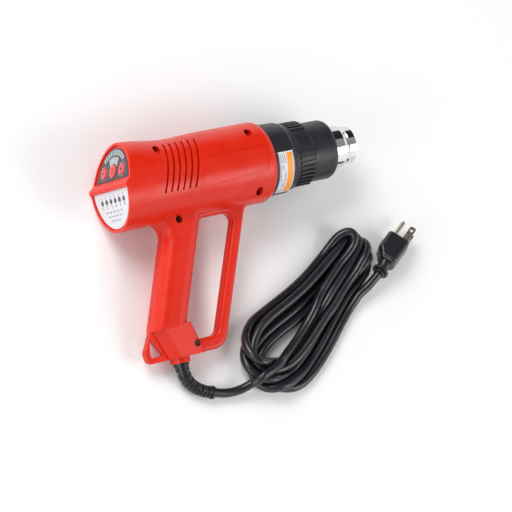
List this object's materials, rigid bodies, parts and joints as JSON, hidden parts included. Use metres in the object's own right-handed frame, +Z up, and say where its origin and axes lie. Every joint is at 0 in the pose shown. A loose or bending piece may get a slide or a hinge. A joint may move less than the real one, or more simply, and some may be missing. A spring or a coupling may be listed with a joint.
{
  "type": "corded heat gun",
  "caption": "Pistol-grip heat gun with hand guard, keypad panel, ribbed nozzle collar, chrome outlet and coiled mains lead.",
  "frame": {"origin": "on the table under the middle of the gun's own bounding box, lead left out", "axes": "+X along the barrel towards the nozzle, +Z up from the table, so +Y points from the handle to the barrel"},
  "size_m": [0.3166, 0.2552, 0.0779],
  "materials": {
    "red_plastic": "moulded red nylon, fine satin",
    "black_plastic": "heat-resistant black plastic, satin",
    "dark_overlay": "dark grey printed keypad film",
    "grey_window": "light grey display window",
    "coral_button": "coral red button",
    "white_label": "white printed film",
    "orange_band": "orange printed band",
    "dark_lens": "smoked indicator lens",
    "circuit_board": "green glass-epoxy board",
    "steel": "zinc-plated steel",
    "chrome": "polished plated steel",
    "brass": "sintered bronze",
    "aluminium": "extruded aluminium",
    "mica": "mica board",
    "resistance_wire": "resistance wire",
    "fan_plastic": "glass-filled nylon",
    "grey_plastic": "grey plastic",
    "cord_sheath": "black flexible cord sheath",
    "blade_metal": "nickel-plated brass"
  },
  "bodies": {
    "gun": {"board_screws": "steel", "clamp_screws": "steel", "collar_label": "white_label", "collar_screws": "steel", "control_board": "circuit_board", "control_overlay": "dark_overlay", "cord_clamp": "black_plastic", "cord_hank": "cord_sheath", "cord_lead": "cord_sheath", "cord_stub": "cord_sheath", "cord_tail": "cord_sheath", "display_window": "grey_window", "fan_shroud": "fan_plastic", "hang_loop": "red_plastic", "heat_sink": "aluminium", "heater_former": "mica", "heating_coils": "resistance_wire", "housing_screws": "steel", "indicator_lenses": "dark_lens", "internal_wires": "cord_sheath", "label_band": "orange_band", "left_housing": "red_plastic", "level_window": "grey_window", "mica_sleeve": "mica", "motor_body": "steel", "motor_bushings": "brass", "motor_mount": "grey_plastic", "nozzle": "chrome", "nozzle_flange": "steel", "plug_blades": "blade_metal", "plug_body": "cord_sheath", "plug_earth_pin": "blade_metal", "power_board": "circuit_board", "power_capacitor": "grey_plastic", "rear_cap": "red_plastic", "rear_collar": "black_plastic", "right_housing": "red_plastic", "scale_label": "white_label", "strain_relief": "cord_sheath", "tactile_switches": "grey_plastic", "temperature_sensor": "steel", "thermal_fuse": "steel"},
    "minus_button": {"minus_button": "coral_button"},
    "power_button": {"power_button": "coral_button"},
    "plus_button": {"plus_button": "coral_button"},
    "rotor": {"motor_shaft": "steel", "fan_impeller": "fan_plastic"},
    "ring": {"locking_ring": "black_plastic"},
    "sleeve": {"guard_sleeve": "black_plastic", "sleeve_guide": "black_plastic"}
  },
  "joints": [
    {"name": "minus_button_press", "type": "slide", "parent": "gun", "child": "minus_button", "axis": [0.9424, -0.3299, -0.0549], "range_m": [0, 0.0008], "stiffness_N_per_m": 600, "springref_m": -0.0008},
    {"name": "power_button_press", "type": "slide", "parent": "gun", "child": "power_button", "axis": [0.9424, -0.3299, -0.0549], "range_m": [0, 0.0008], "stiffness_N_per_m": 600, "springref_m": -0.0008},
    {"name": "plus_button_press", "type": "slide", "parent": "gun", "child": "plus_button", "axis": [0.9424, -0.3299, -0.0549], "range_m": [0, 0.0008], "stiffness_N_per_m": 600, "springref_m": -0.0008},
    {"name": "fan_spin", "type": "hinge", "parent": "gun", "child": "rotor", "pos_m": [-0.0357, 0.0614, 0.0382], "axis": [1, 0, 0], "continuous": true},
    {"name": "ring_turn", "type": "hinge", "parent": "gun", "child": "ring", "pos_m": [0.0663, 0.0614, 0.0382], "axis": [1, 0, 0], "range_deg": [0, 30]},
    {"name": "sleeve_slide", "type": "slide", "parent": "gun", "child": "sleeve", "axis": [1, 0, 0], "range_m": [0, 0.066]}
  ]
}
